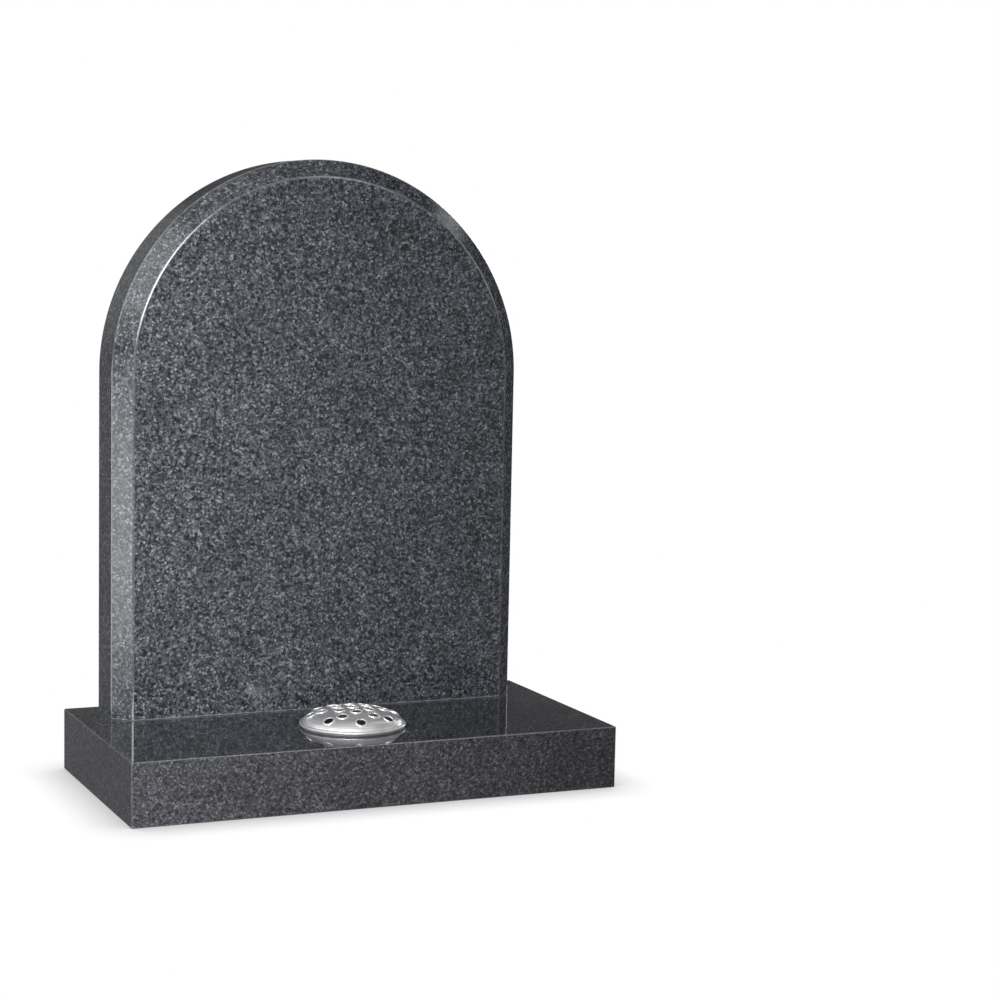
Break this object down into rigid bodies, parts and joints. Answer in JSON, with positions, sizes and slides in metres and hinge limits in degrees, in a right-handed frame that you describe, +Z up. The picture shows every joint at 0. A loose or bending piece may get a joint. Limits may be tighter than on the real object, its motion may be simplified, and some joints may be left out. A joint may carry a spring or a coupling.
{
  "type": "headstone",
  "caption": "Round-topped polished granite headstone with a chamfered front, on a granite base with an aluminium flower container under a pierced domed lid.",
  "frame": {"origin": "middle of the base's underside, on the surface it stands on", "axes": "+Z up, the front faces -Y, and +X is to the right of someone who looks at the front"},
  "size_m": [0.61, 0.318, 0.762],
  "materials": {
    "granite": "polished dark grey speckled granite",
    "aluminium": "spun, bright satin"
  },
  "bodies": {
    "root": {"headstone": "granite", "base": "granite", "flower_container": "aluminium", "flower_lid": "aluminium"}
  },
  "joints": []
}
